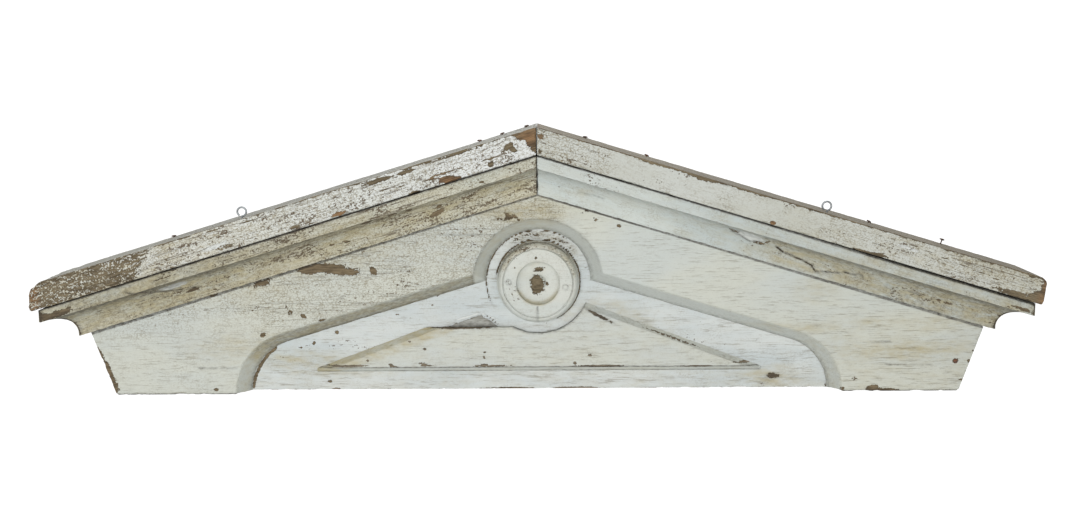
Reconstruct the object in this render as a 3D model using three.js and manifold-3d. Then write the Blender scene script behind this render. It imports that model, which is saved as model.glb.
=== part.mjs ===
// Wooden gable head for a window or door: two board layers, a raking cove with a cap on it,
// a turned rosette under an arched cut-out, a split triangular panel and two screw eyes.
// Millimetres, Z up, front towards -Y, wall face on y = 0, rosette axis on x = 0 and z = 0.
import * as THREE from "three";
import { ConvexGeometry } from "three/addons/geometries/ConvexGeometry.js";
import { mergeVertices } from "three/addons/utils/BufferGeometryUtils.js";
import Module from "manifold-3d";

const wasm = await Module();
wasm.setup();

// Slope of the gable, shared by caps, crown and cut-out
const rakeAngle = 16.88;
const rakeSlope = Math.tan(THREE.MathUtils.degToRad(rakeAngle));

// Depths, measured out from the wall face
const backThickness = 22;
const frontThickness = 28;
const boardFace = backThickness + frontThickness;
const panelThickness = 9;
const rosetteThickness = 22;
const filletOut = 56;
const lipOut = 13;
const capOut = 71;

// Heights above the rosette's centre: the raking ones are taken at the middle, x = 0
const bottomEdge = -169.5;
const capTop = 241.3;
const capThickness = 41;
const crownTopGap = 1.2;
const filletHeight = 19.6;
const coveHeight = 38;
const lipHeight = 3.7;
const capUnder = capTop - capThickness;
const crownTop = capUnder - crownTopGap;
const filletUnder = crownTop - filletHeight;
const coveFoot = filletUnder - coveHeight;
const crownUnder = coveFoot - lipHeight;

// Lengths to each side of the middle
const capEndLeft = 750.5;
const capEndRight = 745;
const boardEndLeft = 685;
const boardEndRight = 678;
const boardEndTop = -70;
const boardEndLean = 0.35;
const boardCorner = 3;

// Cut-out in the front board: outer edge on the face, chamfered all the way down
const cutApex = 46;
const cutArchRadius = 100;
const cutKneeRadius = 100;
const cutKneeX = 366;
const cutChamfer = 20.5;

// Triangular panel with its upper left part split off along the grain
const panelHalfWidth = 340;
const panelTip = 344;
const panelApex = -6;
const panelBottom = -141;
const panelBevel = 8;
const panelRingRadius = 80;
const panelBreakHeight = -70;
const panelBreakEnd = -170;

// Rosette: upright rim, rounded moulding up to the face, sunken dish and a domed button in it
const rosetteRadius = 63.5;
const rosetteRimHeight = 6;
const rosetteStep = 1.5;
const rosetteFaceRadius = 54;
const rosetteDishRadius = 33;
const rosetteDishFloor = 20;
const rosetteDishDepth = 8;
const rosetteButtonRadius = 12;
const rosetteButtonDrop = 1;

// Ironwork
const eyeLeftX = -437;
const eyeRightX = 427;
const eyeDepth = 88;
const eyeRadius = 6.6;
const eyeWire = 1.35;
const eyeShank = 20;
const nailHeadRadius = 3.6;
const nailHeadThickness = 1.8;
const nailShankRadius = 1.3;
const nailShankLength = 16;
const capNailDepth = 26;
const capNailRise = 3.4;
const capNailX = [-557, -87, -53, -16, 73, 166, 505];
const bentNailX = 617;
const bentNailRise = 9;
const boardNailX = 637;
const boardNailZ = -123;

// Gaps between touching pieces, and the overshoot of cutting bodies
const fitGap = 0.3;
const mitreGap = 0.6;
const overshoot = 5;

const wood = { metalness: 0, roughness: 0.75 };
const iron = { metalness: 0.8, roughness: 0.6 };

function solid(geometry) {
  geometry.deleteAttribute("normal");
  geometry.deleteAttribute("uv");
  const welded = mergeVertices(geometry, 1e-4);
  return new wasm.Manifold(new wasm.Mesh({
    numProp: 3,
    vertProperties: new Float32Array(welded.attributes.position.array),
    triVerts: new Uint32Array(welded.index.array),
  }));
}

function shapeOf(points) {
  return new THREE.Shape(points.map(([x, y]) => new THREE.Vector2(x, y)));
}

// Outline in x and z, from one distance off the wall to another
function slab(points, back, front) {
  const geometry = new THREE.ExtrudeGeometry(shapeOf(points), { depth: front - back, bevelEnabled: false });
  geometry.rotateX(Math.PI / 2);
  geometry.translate(0, -back, 0);
  return solid(geometry);
}

// Outline in x and y, from one height to another
function pillar(points, low, high) {
  const geometry = new THREE.ExtrudeGeometry(shapeOf(points), { depth: high - low, bevelEnabled: false });
  geometry.translate(0, 0, low);
  return solid(geometry);
}

// Profile in y and z, run sideways and sheared down the slope of its side
function rakingRun(points, fromX, toX) {
  const geometry = new THREE.ExtrudeGeometry(shapeOf(points), { depth: toX - fromX, bevelEnabled: false });
  geometry.translate(0, 0, fromX);
  const slope = Math.sign(fromX + toX) * -rakeSlope;
  geometry.applyMatrix4(new THREE.Matrix4().set(
    0, 0, 1, 0,
    1, 0, 0, 0,
    0, 1, slope, 0,
    0, 0, 0, 1,
  ));
  return solid(geometry);
}

function cylinder(radius, length, segments) {
  return new THREE.CylinderGeometry(radius, radius, length, segments);
}

function mirroredIf(points, side) {
  return side > 0 ? points : points.map(([x, z]) => [-x, z]).reverse();
}

function arc(centreX, centreZ, radius, from, to, steps) {
  const points = [];
  for (let i = 0; i <= steps; i += 1) {
    const angle = THREE.MathUtils.degToRad(from + ((to - from) * i) / steps);
    points.push([centreX + radius * Math.cos(angle), centreZ + radius * Math.sin(angle)]);
  }
  return points;
}

// Outline shared by both board layers: gable top, upright ends behind the returns, leaning ends below
function boardOutline() {
  const halfOutline = (end) => {
    const foot = end - boardEndLean * (boardEndTop - bottomEdge);
    return [
      [foot - boardCorner, bottomEdge],
      [foot + boardCorner * boardEndLean, bottomEdge + boardCorner],
      [end, boardEndTop],
      [end, capUnder - fitGap - rakeSlope * end],
    ];
  };
  const left = halfOutline(boardEndLeft).map(([x, z]) => [-x, z]).reverse();
  return [...halfOutline(boardEndRight), [0, capUnder - fitGap], ...left];
}

function backBoard() {
  return slab(boardOutline(), 0, backThickness);
}

// Body that takes the chamfered cut-out from the front board
function cutOutBody() {
  const points = [];
  const layers = [
    [backThickness - overshoot, cutChamfer * (1 + overshoot / frontThickness)],
    [boardFace + overshoot, -cutChamfer * (overshoot / frontThickness)],
  ];
  for (const [depth, inset] of layers) {
    const knees = arc(cutKneeX, bottomEdge, cutKneeRadius - inset, -90, 90 - rakeAngle, 22);
    for (const [x, z] of knees) {
      points.push(new THREE.Vector3(x, -depth, z), new THREE.Vector3(-x, -depth, z));
    }
    const apex = cutApex - inset / Math.cos(THREE.MathUtils.degToRad(rakeAngle));
    points.push(new THREE.Vector3(0, -depth, apex));
  }
  const [[deep, deepInset], [near, nearInset]] = layers;
  const arch = new THREE.CylinderGeometry(
    cutArchRadius - deepInset, cutArchRadius - nearInset, near - deep, 72,
  );
  arch.translate(0, -(near + deep) / 2, 0);
  return solid(new ConvexGeometry(points)).add(solid(arch));
}

function frontBoard() {
  const board = slab(boardOutline(), backThickness + fitGap, boardFace);
  return board.subtract(cutOutBody()).subtract(nailHole(boardNail()));
}

// Bevelled triangular board, split along the grain on the left and cut round the ring
function trianglePanel() {
  const back = backThickness + fitGap;
  const front = backThickness + panelThickness;
  const slope = (panelApex - panelBottom - panelBevel) / panelHalfWidth;
  const corners = (inset) => {
    const low = panelBottom + inset;
    const high = panelApex - inset * Math.hypot(1, slope);
    const half = (high - low) / slope;
    return [[-half, low], [half, low], [0, high]];
  };
  const points = [];
  for (const [x, z] of corners(0)) {
    points.push(new THREE.Vector3(x, -back, z));
  }
  for (const [x, z] of corners(panelBevel)) {
    points.push(new THREE.Vector3(x, -front, z));
  }
  const ring = cylinder(panelRingRadius, panelThickness * 4, 72);
  ring.translate(0, -front, 0);
  const splitOff = slab([
    [panelBreakEnd * 2, panelBreakHeight + 2.5],
    [panelBreakEnd, panelBreakHeight],
    [0, panelBreakHeight],
    [0, panelApex + overshoot],
    [panelBreakEnd * 2, panelApex + overshoot],
  ], 0, boardFace);
  const blunt = slab([
    [-panelTip, panelBottom - overshoot],
    [panelTip, panelBottom - overshoot],
    [panelTip, panelApex + overshoot],
    [-panelTip, panelApex + overshoot],
  ], 0, boardFace);
  const whole = solid(new ConvexGeometry(points)).intersect(blunt);
  return whole.subtract(solid(ring)).subtract(splitOff);
}

// Turned disc with a moulded rim, a flat ring, a sunken dish and a button in the middle
function rosette() {
  const back = backThickness + fitGap;
  const front = backThickness + rosetteThickness;
  const rim = back + rosetteRimHeight;
  const floor = front - rosetteDishDepth;
  const buttonTop = front - rosetteButtonDrop;
  const quarter = (centre, middle, width, depth, from, to) => arc(0, 0, 1, from, to, 6).map(
    ([x, z]) => [centre + x * width, middle + z * depth],
  );
  const profile = [
    [0, back],
    [rosetteRadius, back],
    [rosetteRadius, rim],
    ...quarter(rosetteFaceRadius, rim + rosetteStep, rosetteRadius - rosetteStep - rosetteFaceRadius,
      front - rosetteStep * 2 - rim, 0, 90),
    [rosetteFaceRadius - rosetteStep, front],
    [rosetteDishRadius, front],
    ...quarter(rosetteDishFloor, front - rosetteStep, rosetteDishRadius - rosetteDishFloor,
      rosetteDishDepth - rosetteStep, 0, -90),
    [rosetteButtonRadius + rosetteStep, floor],
    ...quarter(0, floor, rosetteButtonRadius, buttonTop - floor, 0, 90),
  ];
  const points = profile.map(([radius, depth]) => new THREE.Vector2(Math.max(radius, 0), -depth)).reverse();
  points[0].x = 0;
  return solid(new THREE.LatheGeometry(points, 72));
}

// Section of the crown: square fillet above, hollow cove, narrow lip at the foot
function crownSection() {
  const coveTopOut = filletOut - 2;
  const points = [
    [-(boardFace + fitGap), crownTop],
    [-(boardFace + fitGap), crownUnder],
    [-(boardFace + lipOut), crownUnder],
  ];
  for (const [out, z] of arc(0, 0, 1, 180, 90, 14)) {
    const y = -(boardFace + coveTopOut + out * (coveTopOut - lipOut));
    points.push([y, coveFoot + z * (filletUnder - coveFoot)]);
  }
  points.push([-(boardFace + filletOut), filletUnder]);
  points.push([-(boardFace + filletOut), crownTop]);
  return points;
}

// Raking length of crown, cut plumb in the middle and at 45 degrees in plan at the end
function crown(side, end) {
  const near = boardFace - overshoot;
  const far = boardFace + filletOut + overshoot;
  const plan = mirroredIf([
    [mitreGap / 2, -near],
    [mitreGap / 2, -far],
    [end + filletOut + overshoot, -far],
    [end - overshoot, -near],
  ], side);
  const reach = (end + filletOut + overshoot * 2) * side;
  const run = rakingRun(crownSection(), Math.min(0, reach), Math.max(0, reach));
  return run.intersect(pillar(plan, crownUnder - capTop * 2, capTop));
}

// Short length of crown that returns to the wall round the end of the boards
function crownReturn(side, end) {
  const outline = crownSection().map(([y, z]) => {
    const out = -y - boardFace;
    return [end + mitreGap + out, z - rakeSlope * (end + out)];
  });
  const far = boardFace + filletOut + overshoot;
  const profile = slab(mirroredIf(outline.reverse(), side), 0, far);
  const inner = end + mitreGap;
  const plan = mirroredIf([
    [inner, 0],
    [inner, -boardFace],
    [inner + filletOut + overshoot, -far],
    [inner + filletOut + overshoot, 0],
  ].reverse(), side);
  return profile.intersect(pillar(plan, crownUnder - capTop * 2, capTop));
}

// Cap boards, mitred plumb in the middle, seen from the front
function capOutline(end, cornerTop, cornerLow, lean) {
  const top = (x) => capTop - rakeSlope * x;
  const low = (x) => capUnder - rakeSlope * x;
  return [
    [mitreGap / 2, low(mitreGap / 2)],
    [end - lean - cornerLow, low(end - lean - cornerLow)],
    [end - lean - cornerLow * 0.25, low(end) + cornerLow * 0.45],
    [end - lean * 0.7, low(end) + cornerLow * 1.6],
    [end, top(end) - cornerTop * 1.1],
    [end - cornerTop * 0.12, top(end) - cornerTop * 0.6],
    [end - cornerTop * 0.45, top(end) - cornerTop * 0.12],
    [end - cornerTop, top(end - cornerTop)],
    [mitreGap / 2, top(mitreGap / 2)],
  ];
}

function capLeft() {
  const outline = mirroredIf(capOutline(capEndLeft, 16, 6, 0), -1);
  const board = slab(outline, 0, boardFace + capOut);
  return withHoles(board, -1);
}

function capRight() {
  const board = slab(capOutline(capEndRight, 7, 5, 5), 0, boardFace + capOut);
  return withHoles(board, 1);
}

function withHoles(board, side) {
  let drilled = board.subtract(eyeHole(side < 0 ? eyeLeftX : eyeRightX));
  for (const x of capNailX.filter((value) => Math.sign(value) === side)) {
    drilled = drilled.subtract(nailHole(capNail(x, capNailRise)));
  }
  return side > 0 ? drilled.subtract(nailHole(capNail(bentNailX, bentNailRise))) : drilled;
}

function capTopAt(x) {
  return capTop - rakeSlope * Math.abs(x);
}

// Bent wire eye with its ring parallel to the front and its shank in the cap
function screwEye(x) {
  const centre = capTopAt(x) + eyeRadius + eyeWire + fitGap * 3;
  const ring = new THREE.TorusGeometry(eyeRadius, eyeWire, 10, 28);
  ring.rotateX(Math.PI / 2);
  ring.translate(x, -eyeDepth, centre);
  const shank = cylinder(eyeWire, eyeShank + eyeRadius, 12);
  shank.rotateX(Math.PI / 2);
  shank.translate(x, -eyeDepth, centre - eyeRadius - (eyeShank + eyeRadius) / 2 + eyeWire);
  return solid(ring).add(solid(shank));
}

function eyeHole(x) {
  const length = eyeShank + overshoot * 2;
  const hole = cylinder(eyeWire + fitGap, length, 16);
  hole.rotateX(Math.PI / 2);
  hole.translate(x, -eyeDepth, capTopAt(x) - eyeShank + length / 2 - overshoot);
  return solid(hole);
}

// Nails are described by where the head sits, which way it faces and how far it stands out
function capNail(x, rise) {
  const lean = -Math.sign(x) * THREE.MathUtils.degToRad(rakeAngle);
  return { x, y: -capNailDepth, z: capTopAt(x), rise, turn: new THREE.Euler(Math.PI / 2, 0, 0), lean };
}

function boardNail() {
  return { x: boardNailX, y: -boardFace, z: boardNailZ, rise: nailHeadThickness, turn: new THREE.Euler(Math.PI, 0, 0), lean: 0 };
}

function placed(geometry, nail) {
  geometry.applyMatrix4(new THREE.Matrix4().makeRotationFromEuler(nail.turn));
  geometry.rotateY(-nail.lean);
  geometry.translate(nail.x, nail.y, nail.z);
  return solid(geometry);
}

function nail(place) {
  const head = cylinder(nailHeadRadius, nailHeadThickness, 12);
  head.translate(0, place.rise - nailHeadThickness / 2, 0);
  const length = nailShankLength + place.rise - nailHeadThickness / 2;
  const shank = cylinder(nailShankRadius, length, 8);
  shank.translate(0, length / 2 - nailShankLength, 0);
  return placed(head, place).add(placed(shank, place));
}

function nailHole(place) {
  const length = nailShankLength + overshoot;
  const hole = cylinder(nailShankRadius + fitGap, length + overshoot, 10);
  hole.translate(0, (overshoot - length) / 2, 0);
  return placed(hole, place);
}

function mesh(name, body, material, color) {
  const data = body.getMesh();
  const geometry = new THREE.BufferGeometry();
  geometry.setAttribute("position", new THREE.BufferAttribute(new Float32Array(data.vertProperties), 3));
  geometry.setIndex(new THREE.BufferAttribute(new Uint32Array(data.triVerts), 1));
  const made = new THREE.Mesh(geometry, new THREE.MeshStandardMaterial({ ...material, color }));
  made.name = name;
  return made;
}

const group = new THREE.Group();
group.name = "wooden_gable_head";
const parts = [
  ["back_board", backBoard(), wood, 0xc8cecb],
  ["front_board", frontBoard(), wood, 0xc9c8bf],
  ["triangle_panel", trianglePanel(), wood, 0xc6c7c0],
  ["rosette", rosette(), wood, 0xc2bfae],
  ["crown_left", crown(-1, boardEndLeft), wood, 0xbab59f],
  ["crown_right", crown(1, boardEndRight), wood, 0xc4c1b1],
  ["crown_return_left", crownReturn(-1, boardEndLeft), wood, 0xb5b19f],
  ["crown_return_right", crownReturn(1, boardEndRight), wood, 0xb8b5a6],
  ["cap_left", capLeft(), wood, 0xc5c2b6],
  ["cap_right", capRight(), wood, 0xc7c4b6],
  ["screw_eye_left", screwEye(eyeLeftX), iron, 0x8a8b8c],
  ["screw_eye_right", screwEye(eyeRightX), iron, 0x8a8b8c],
  ["board_nail", nail(boardNail()), iron, 0x5a3a28],
  ["bent_nail", nail(capNail(bentNailX, bentNailRise)), iron, 0x3a342f],
];
capNailX.forEach((x, index) => {
  parts.push([`cap_nail_${index + 1}`, nail(capNail(x, capNailRise)), iron, 0x4a4038]);
});
for (const [name, body, material, color] of parts) {
  group.add(mesh(name, body, material, color));
}

export default group;
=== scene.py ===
# %% [markdown]
# # A painted wooden gable pediment, weathered
#
# The real object is carpentry: two layers of board with a cut-out, a hollow moulding that climbs both
# slopes, a thick cap on top, a turned disc and a thin triangular panel. All of it carries old white oil
# paint, crackled, stained and flaked down to the wood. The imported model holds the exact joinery. This
# script makes the worn surface around it.

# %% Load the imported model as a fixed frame
import math

import bpy
import numpy as np
from mathutils import Euler, Matrix, Vector, noise


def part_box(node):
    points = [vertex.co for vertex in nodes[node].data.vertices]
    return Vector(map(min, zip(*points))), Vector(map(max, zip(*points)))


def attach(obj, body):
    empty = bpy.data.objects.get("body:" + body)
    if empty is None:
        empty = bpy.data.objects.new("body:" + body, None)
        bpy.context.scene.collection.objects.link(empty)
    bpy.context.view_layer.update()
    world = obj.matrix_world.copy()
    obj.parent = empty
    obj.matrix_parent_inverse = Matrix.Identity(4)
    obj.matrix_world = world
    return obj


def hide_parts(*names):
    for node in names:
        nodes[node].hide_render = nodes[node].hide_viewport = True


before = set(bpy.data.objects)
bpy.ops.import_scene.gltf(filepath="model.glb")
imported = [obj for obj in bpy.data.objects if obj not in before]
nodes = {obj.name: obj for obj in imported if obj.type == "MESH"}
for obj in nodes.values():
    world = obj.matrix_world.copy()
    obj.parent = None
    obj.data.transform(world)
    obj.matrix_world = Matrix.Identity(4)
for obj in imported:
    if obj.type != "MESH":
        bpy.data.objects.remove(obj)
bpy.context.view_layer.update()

MM = 0.001

# %% [markdown]
# ## The stage
#
# The object is photographed on plain white, from about two metres away and a little above its peak. A
# distant pale floor, a white sky and four large soft lights give that look. The floor lies well below
# the object, as under a thing that hangs on a wall, so that no shadow falls beside it.

# %% Camera at the photograph's viewing angle
PHOTO_WIDTH = 1080
FOCAL_PIXELS = 1336
CAMERA_PLACE = Vector((19.0, -2050.0, 336.4)) * MM
CAMERA_PITCH = math.radians(8.515)
CAMERA_YAW = math.radians(-0.448)
CAMERA_ROLL = math.radians(-0.405)

camera_data = bpy.data.cameras.new("camera")
camera_data.sensor_width = 36.0
camera_data.lens = camera_data.sensor_width * FOCAL_PIXELS / PHOTO_WIDTH
camera = bpy.data.objects.new("camera", camera_data)
bpy.context.scene.collection.objects.link(camera)
aim = Euler((math.pi / 2 - CAMERA_PITCH, 0.0, -CAMERA_YAW)).to_matrix()
roll = Euler((0.0, 0.0, CAMERA_ROLL)).to_matrix()
camera.matrix_world = Matrix.Translation(CAMERA_PLACE) @ (aim @ roll).to_4x4()
bpy.context.scene.camera = camera
bpy.context.scene.view_settings.view_transform = "Standard"
print("camera lens: %.1f mm" % camera_data.lens)

# %% [markdown]
# Nodes joined by hand hide what a material is, so it is written here as sums and products. A Signal wraps
# a node's output, and its operators add the Math nodes.

# %% A small language for materials
class Signal:
    def __init__(self, recipe, socket):
        self.recipe = recipe
        self.socket = socket

    def math(self, operation, other=0, swap=False):
        first, second = (other, self) if swap else (self, other)
        return self.recipe.node("ShaderNodeMath", {"operation": operation}, {0: first, 1: second})

    def __add__(self, other):
        return self.math("ADD", other)

    __radd__ = __add__

    def __mul__(self, other):
        return self.math("MULTIPLY", other)

    __rmul__ = __mul__

    def __sub__(self, other):
        return self.math("SUBTRACT", other)

    def __rsub__(self, other):
        return self.math("SUBTRACT", other, swap=True)

    def __abs__(self):
        return self.math("ABSOLUTE")

    def most(self, other):
        return self.math("MAXIMUM", other)

    def least(self, other):
        return self.math("MINIMUM", other)

    def step(self, low, high):
        settings = {"interpolation_type": "SMOOTHSTEP"}
        inputs = {0: self, 1: low, 2: high, 3: 0, 4: 1}
        return self.recipe.node("ShaderNodeMapRange", settings, inputs)


class Recipe:
    """One material, built node by node from expressions."""

    def __init__(self, name):
        self.material = bpy.data.materials.new(name)
        self.material.use_nodes = True
        self.tree = self.material.node_tree
        self.shader = next(n for n in self.tree.nodes if n.type == "BSDF_PRINCIPLED")

    def put(self, socket, value):
        if isinstance(value, Signal):
            self.tree.links.new(value.socket, socket)
        elif isinstance(value, tuple) and socket.type == "RGBA" and len(value) == 3:
            socket.default_value = (*value, 1.0)
        else:
            socket.default_value = value

    def node(self, kind, settings=None, inputs=None, output=0):
        made = self.tree.nodes.new(kind)
        for key, value in (settings or {}).items():
            setattr(made, key, value)
        for key, value in (inputs or {}).items():
            self.put(made.inputs[key], value)
        return Signal(self, made.outputs[output])

    def attribute(self, name):
        return self.node("ShaderNodeAttribute", {"attribute_name": name}, output="Fac")

    def mix(self, factor, first, second):
        settings = {"data_type": "RGBA", "blend_type": "MIX", "clamp_factor": True}
        return self.node("ShaderNodeMix", settings, {0: factor, 6: first, 7: second}, output=2)

    def place(self, turn=0, stretch=(1, 1, 1), shift=(0, 0, 0)):
        coordinates = self.node("ShaderNodeTexCoord", output="Object")
        turned = self.node("ShaderNodeMapping", inputs={0: coordinates, 2: (0, turn, 0)})
        return self.node("ShaderNodeMapping", inputs={0: turned, 1: shift, 3: stretch})

    def noise(self, place, size, detail=4, rough=0.55, bend=0):
        inputs = {"Vector": place, "Scale": 1 / (size * MM)}
        inputs.update({"Detail": detail, "Roughness": rough, "Distortion": bend})
        return self.node("ShaderNodeTexNoise", inputs=inputs)

    def cells(self, place, size):
        inputs = {"Vector": place, "Scale": 1 / (size * MM), "Randomness": 1}
        settings = {"feature": "DISTANCE_TO_EDGE"}
        return self.node("ShaderNodeTexVoronoi", settings, inputs, output="Distance")

    def finish(self, color, roughness, height=None, depth=0.5, strength=1):
        self.put(self.shader.inputs["Base Color"], color)
        self.put(self.shader.inputs["Roughness"], roughness)
        if height is not None:
            inputs = {"Height": height, "Distance": depth * MM, "Strength": strength}
            self.put(self.shader.inputs["Normal"], self.node("ShaderNodeBump", inputs=inputs))
        return self.material


def srgb(red, green, blue):
    """A colour as picked from a picture, 0 to 255, in the shader's linear values."""
    parts = [part / 255 for part in (red, green, blue)]
    return tuple(part / 12.92 if part <= 10 / 255 else ((part + 0.055) / 1.055) ** 2.4 for part in parts)

# %% [markdown]
# The floor is one large plane, kept from being a plain slab by a faint mottling, and the sky is white
# where the camera sees it and a little dimmer as a light, so that hollows stay readable.

# %% Floor, sky and lights
FLOOR_HEIGHT = -0.85
FLOOR_SIZE = 30
WHITE_LEVEL = 1.1
SKY_LIGHT = 0.31

bpy.ops.mesh.primitive_plane_add(size=FLOOR_SIZE, location=(0, 0, FLOOR_HEIGHT))
floor = bpy.context.object
floor.name = "floor"
pale = Recipe("pale_floor")
tone = pale.noise(pale.place(), 900)
floor.data.materials.append(pale.finish(pale.mix(tone, srgb(205, 206, 206), srgb(212, 213, 212)), 0.9))
seen = pale.node("ShaderNodeLightPath", output="Is Camera Ray")
white = pale.node("ShaderNodeEmission", inputs={"Strength": WHITE_LEVEL})
matt = Signal(pale, pale.shader.outputs["BSDF"])
both = pale.node("ShaderNodeMixShader", inputs={0: seen, 1: matt, 2: white})
out = next(n for n in pale.tree.nodes if n.type == "OUTPUT_MATERIAL")
pale.put(out.inputs["Surface"], both)

world = bpy.data.worlds.new("soft_sky")
bpy.context.scene.world = world
world.use_nodes = True
sky = world.node_tree
background = next(n for n in sky.nodes if n.type == "BACKGROUND")
light_path = sky.nodes.new("ShaderNodeLightPath")
sky_level = sky.nodes.new("ShaderNodeMapRange")
sky_level.inputs["To Min"].default_value = SKY_LIGHT
sky_level.inputs["To Max"].default_value = WHITE_LEVEL
sky.links.new(light_path.outputs["Is Camera Ray"], sky_level.inputs["Value"])
sky.links.new(sky_level.outputs["Result"], background.inputs["Strength"])
background.inputs["Color"].default_value = (1, 1, 1, 1)


def soft_light(name, place, aim_at, size, power):
    data = bpy.data.lights.new(name, "AREA")
    data.shape = "RECTANGLE"
    data.size, data.size_y = size
    data.energy = power
    lamp = bpy.data.objects.new(name, data)
    bpy.context.scene.collection.objects.link(lamp)
    turn = (Vector(aim_at) - Vector(place)).to_track_quat("-Z", "Y")
    lamp.matrix_world = Matrix.Translation(place) @ turn.to_matrix().to_4x4()


soft_light("key_light", (-0.8, -3.2, 0.3), (0, 0, 0.05), (2.4, 1.8), 61)
soft_light("fill_light", (1.2, -3.2, -0.2), (0, 0, 0.05), (1.8, 1.2), 17)
soft_light("top_light", (0, 0.3, 2.6), (0, 0, 0.1), (2.4, 1.2), 42)
soft_light("back_light", (0.6, 2.6, 1.2), (0, 0, 0), (2.5, 1.5), 26)

# %% [markdown]
# ## Modelling tools
#
# A board that has hung outdoors for a century isn't flat and its arrises aren't sharp. Each wooden piece
# starts as a merged copy of its exact solid, and its arrises are bevelled.

# %% Copy, choose and bevel
import bmesh

SLOPE = 0.3034
RAKE = math.atan(SLOPE)
SHARP = math.radians(28)
SIDES = ((-1, "left"), (1, "right"))


def open_edit(piece, kind="VERT"):
    bpy.ops.object.select_all(action="DESELECT")
    piece.select_set(True)
    bpy.context.view_layer.objects.active = piece
    bpy.ops.object.mode_set(mode="EDIT")
    bpy.ops.mesh.select_mode(type=kind)
    bpy.ops.mesh.select_all(action="DESELECT")


def close_edit():
    bpy.ops.object.mode_set(mode="OBJECT")


def extrude(step):
    bpy.ops.mesh.extrude_region_move(TRANSFORM_OT_translate={"value": step})


def take_all():
    bpy.ops.mesh.select_all(action="SELECT")


def choose(piece, kind, test):
    """Selects the verts, edges or faces that pass the test, in edit mode."""
    form = bmesh.from_edit_mesh(piece.data)
    for item in getattr(form, kind):
        if test(item):
            item.select_set(True)
    bmesh.update_edit_mesh(piece.data)


def worn_copy(node, name=None):
    """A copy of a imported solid, with its loose triangles merged to clean faces."""
    piece = bpy.data.objects.new(name or "worn_" + node, nodes[node].data.copy())
    bpy.context.scene.collection.objects.link(piece)
    piece.data.materials.clear()
    open_edit(piece)
    take_all()
    bpy.ops.mesh.customdata_custom_splitnormals_clear()
    bpy.ops.mesh.remove_doubles(threshold=0.02 * MM)
    bpy.ops.mesh.dissolve_limited(angle_limit=math.radians(0.5))
    close_edit()
    return piece


def ease_arrises(piece, width, test=lambda edge: True):
    open_edit(piece, "EDGE")
    choose(piece, "edges", lambda e: len(e.link_faces) == 2 and e.calc_face_angle() > SHARP and test(e))
    bpy.ops.mesh.bevel(offset=width * MM, segments=2, profile=0.5, affect="EDGES", clamp_overlap=True)
    close_edit()


# %% [markdown]
# Planes then cut the piece into a close grid. This gives every few millimetres a point that can sink, and
# that can carry numbers for the paint: how bare, how dirty, how crackled. The planes follow the grain.

# %% Cut a piece into a grid
ACROSS = (1, 0, 0)
BACKWARD = (0, 1, 0)
UPWARD = (0, 0, 1)


def cut_grid(piece, normal, first, last, pitch):
    """Cuts with parallel planes, at distances along their normal in millimetres."""
    open_edit(piece)
    for number in range(int((last - first) / pitch) + 1):
        place = Vector(normal).normalized() * (first + number * pitch) * MM
        take_all()
        bpy.ops.mesh.bisect(plane_co=place, plane_no=normal, threshold=0.03 * MM)
    close_edit()


def raking(side):
    """The directions along and across a slope; side is -1 on the left and 1 on the right."""
    along = Vector((math.cos(RAKE), 0, -side * math.sin(RAKE)))
    across = Vector((side * math.sin(RAKE), 0, math.cos(RAKE)))
    return along, across


# %% [markdown]
# Wear is a small inward move of each point. A slow wave makes the surface uneven, and on the arrises a
# second, quicker noise bites short chips. Everything moves inward, so a worn piece stays within the size
# of the new one.

# %% Wear
def ramp(value, low, high):
    value = min(max((value - low) / (high - low), 0), 1)
    return value * value * (3 - 2 * value)


def folds(form):
    """The largest angle between neighbouring faces at each point."""
    return [max((e.calc_face_angle(0) for e in vertex.link_edges), default=0) for vertex in form.verts]


def wear(piece, wave, wave_size, chip, chip_size=16, often=0.1, more=None):
    """Sinks the surface; more is a function of the place in millimetres that gives extra depth."""
    form = bmesh.new()
    form.from_mesh(piece.data)
    form.normal_update()
    moves = []
    for vertex, fold in zip(form.verts, folds(form)):
        place = vertex.co / MM
        depth = (0.5 - noise.noise(place / wave_size) * 0.5) * wave
        bite = noise.noise(place / chip_size) + 0.5 * noise.noise(place / chip_size * 3.1)
        depth += ramp(fold, 0.2, 0.5) * ramp(bite, often, often + 0.5) * chip
        if more:
            depth += more(place)
        moves.append(vertex.normal * -depth * MM)
    for vertex, move in zip(form.verts, moves):
        vertex.co += move
    form.to_mesh(piece.data)
    form.free()


# %% [markdown]
# ## Where the paint is worn
#
# Each mark on the real object is one short entry: its place, its half sizes, its turn and its strength.
# A mark is a smooth hill of numbers in a named attribute, 0.5 high at its edge. The paint's shader adds
# fine noise to the hill before it cuts it at 0.5, which gives the ragged edge that flaked paint has.

# %% Marks
def places(piece):
    """The points in millimetres, one row each."""
    flat = np.empty(len(piece.data.vertices) * 3)
    piece.data.vertices.foreach_get("co", flat)
    return flat.reshape(-1, 3) / MM


def fade(values, low, high):
    """0 below low and 1 above high, with a smooth change between them."""
    part = np.clip((values - low) / (high - low), 0, 1)
    return part * part * (3 - 2 * part)


def hill(away):
    """1 in the middle of a mark, 0.5 at its edge, where away is 1, and 0 at twice that distance."""
    return np.clip(1 - 0.5 * away, 0, 1)


def highest(*layers):
    """The highest of several layers at each point."""
    best = layers[0]
    for layer in layers[1:]:
        best = np.maximum(best, layer)
    return best


def spot(points, x, z, half_x, half_z, turn=0, strength=1):
    cos, sin = math.cos(math.radians(turn)), math.sin(math.radians(turn))
    dx, dz = points[:, 0] - x, points[:, 2] - z
    along, across = dx * cos + dz * sin, dz * cos - dx * sin
    return hill(np.hypot(along / half_x, across / half_z)) * strength


def spots(points, marks):
    return highest(np.zeros(len(points)), *(spot(points, *mark) for mark in marks))


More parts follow.
